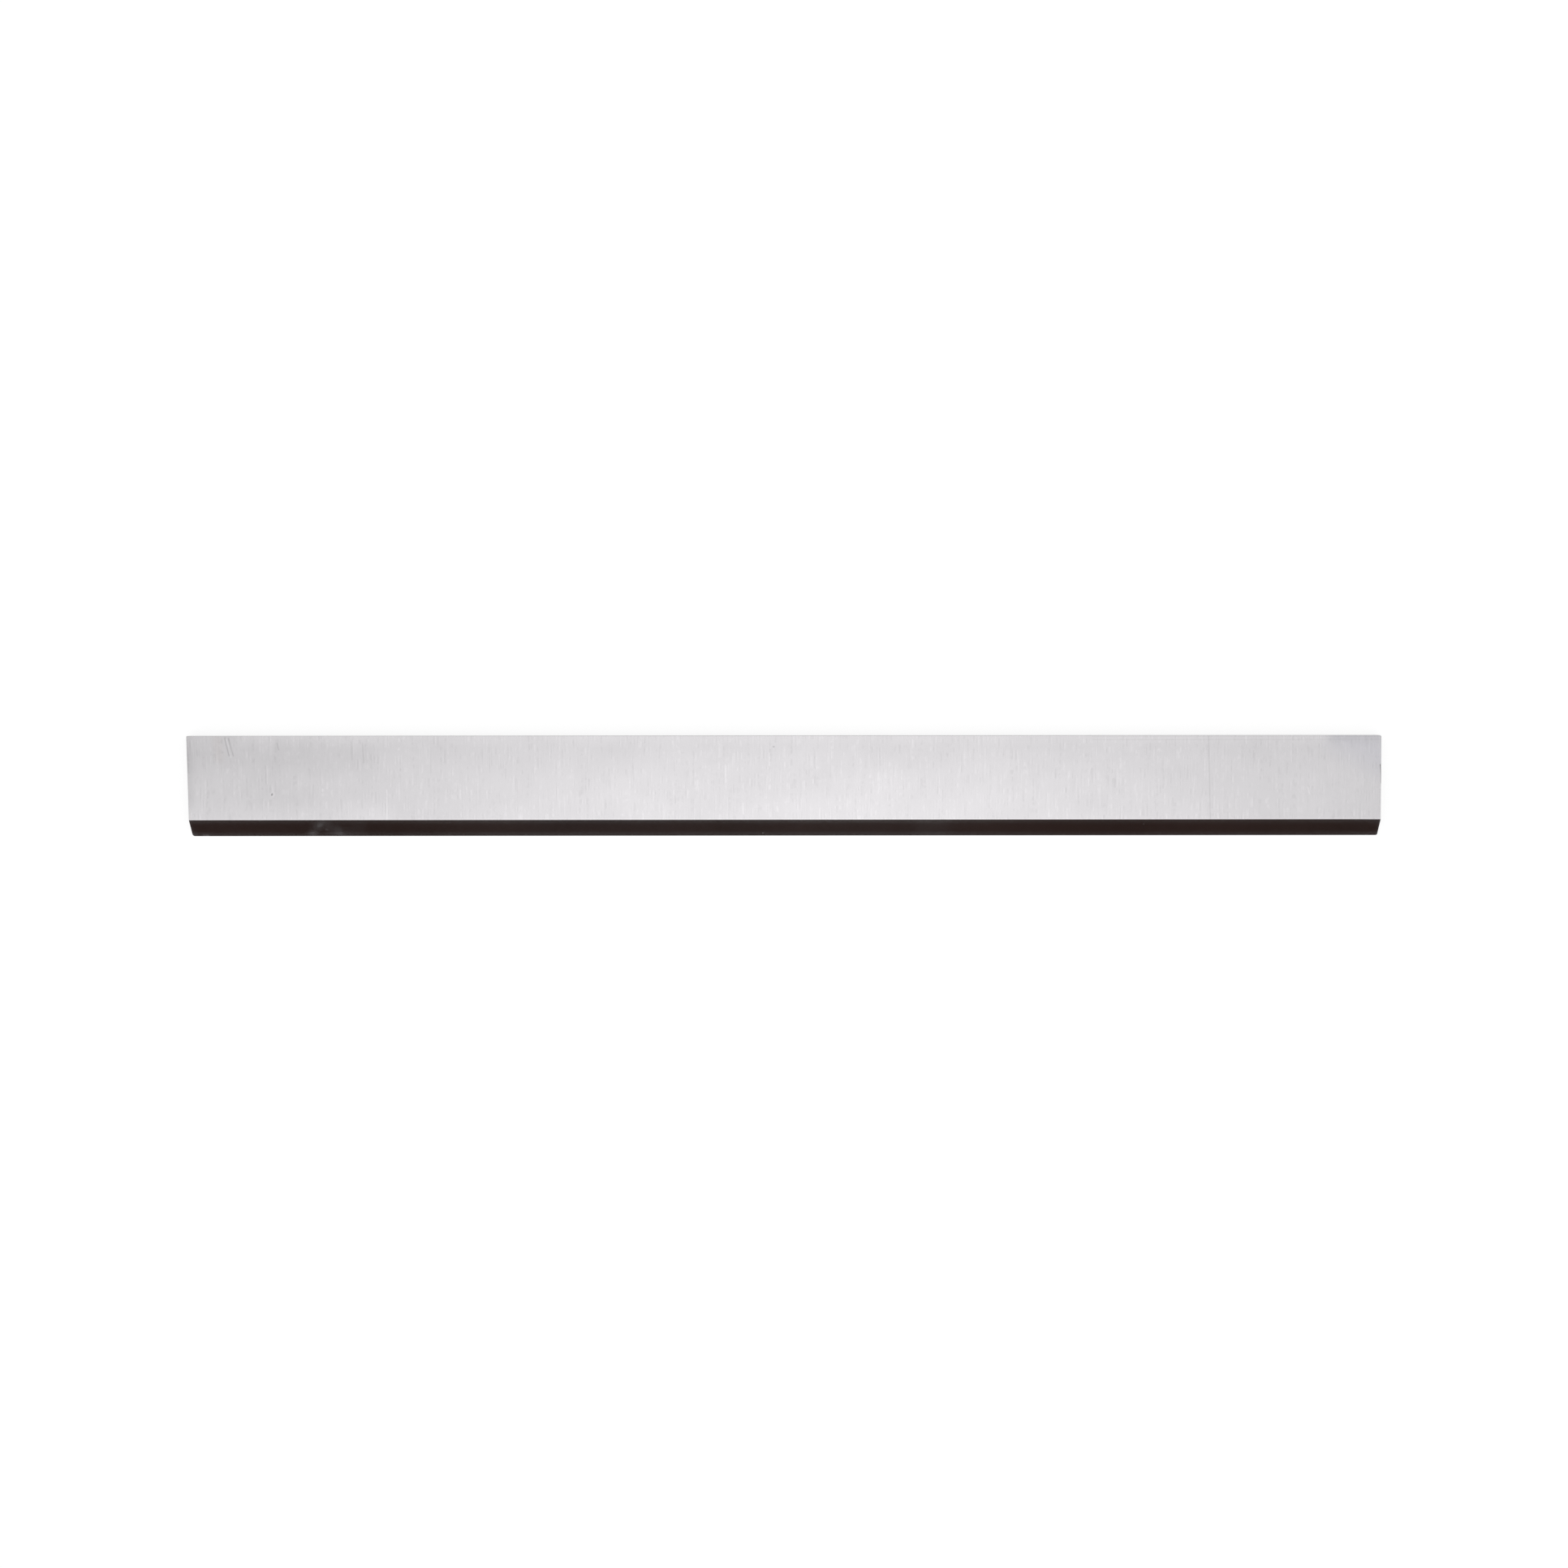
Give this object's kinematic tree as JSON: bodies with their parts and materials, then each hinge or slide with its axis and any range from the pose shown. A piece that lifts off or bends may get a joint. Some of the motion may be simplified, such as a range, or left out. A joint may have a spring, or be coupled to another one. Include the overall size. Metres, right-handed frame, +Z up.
{
  "type": "planer knife",
  "caption": "Flat ground steel planer knife with a bevelled cutting edge, clamped by its broad faces in a cutterhead slot.",
  "frame": {"origin": "on the seat face, under the middle of the knife's box", "axes": "+X along the knife, +Y from the cutting edge to the back edge, +Z up from the seat face to the gib face"},
  "size_m": [0.31, 0.0262, 0.0032],
  "materials": {
    "ground_steel": "ground high-speed steel, fine scratches across the knife"
  },
  "bodies": {
    "root": {"planer_knife": "ground_steel"}
  },
  "joints": []
}
